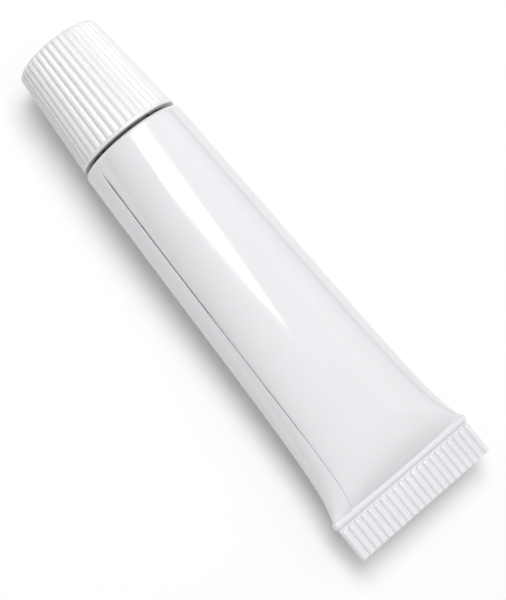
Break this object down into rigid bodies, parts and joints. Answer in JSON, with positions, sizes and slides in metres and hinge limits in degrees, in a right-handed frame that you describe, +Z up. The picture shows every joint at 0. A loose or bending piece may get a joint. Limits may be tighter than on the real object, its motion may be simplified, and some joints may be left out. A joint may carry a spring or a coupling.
{
  "type": "silicone adhesive tube",
  "caption": "Small sealed laminate tube of silicone adhesive, round at the shoulder, with a ribbed crimp across its tail and a long ribbed screw cap that unscrews.",
  "frame": {"origin": "under the middle of the part's bounding box, on the surface that the tube lies on", "axes": "+X along the tube towards the cap, +Z up, +Y towards the side with the lap seam; the tube's own axis rises 3.19 degrees towards the cap"},
  "size_m": [0.0946, 0.0304, 0.0188],
  "materials": {
    "sleeve_laminate": "glossy white laminate",
    "head_plastic": "natural white moulded plastic",
    "foil": "thin membrane",
    "liner_foam": "fine closed foam",
    "cap_plastic": "satin white moulded plastic"
  },
  "bodies": {
    "tube": {"sleeve": "sleeve_laminate", "head": "head_plastic", "foil_seal": "foil"},
    "liner": {"cap_liner": "liner_foam"},
    "cap": {"cap": "cap_plastic"}
  },
  "joints": [
    {"name": "cap_rise", "type": "slide", "parent": "tube", "child": "liner", "axis": [0.9984, 0, 0.0557], "range_m": [0, 0.0125]},
    {"name": "cap_turn", "type": "hinge", "parent": "liner", "child": "cap", "pos_m": [0.02746, 0, 0.00937], "axis": [0.9984, 0, 0.0557], "range_deg": [0, 1800]}
  ],
  "couplings": [
    {"joint": "cap_rise", "follows": "cap_turn", "m_per_rad": 0.00039788}
  ]
}
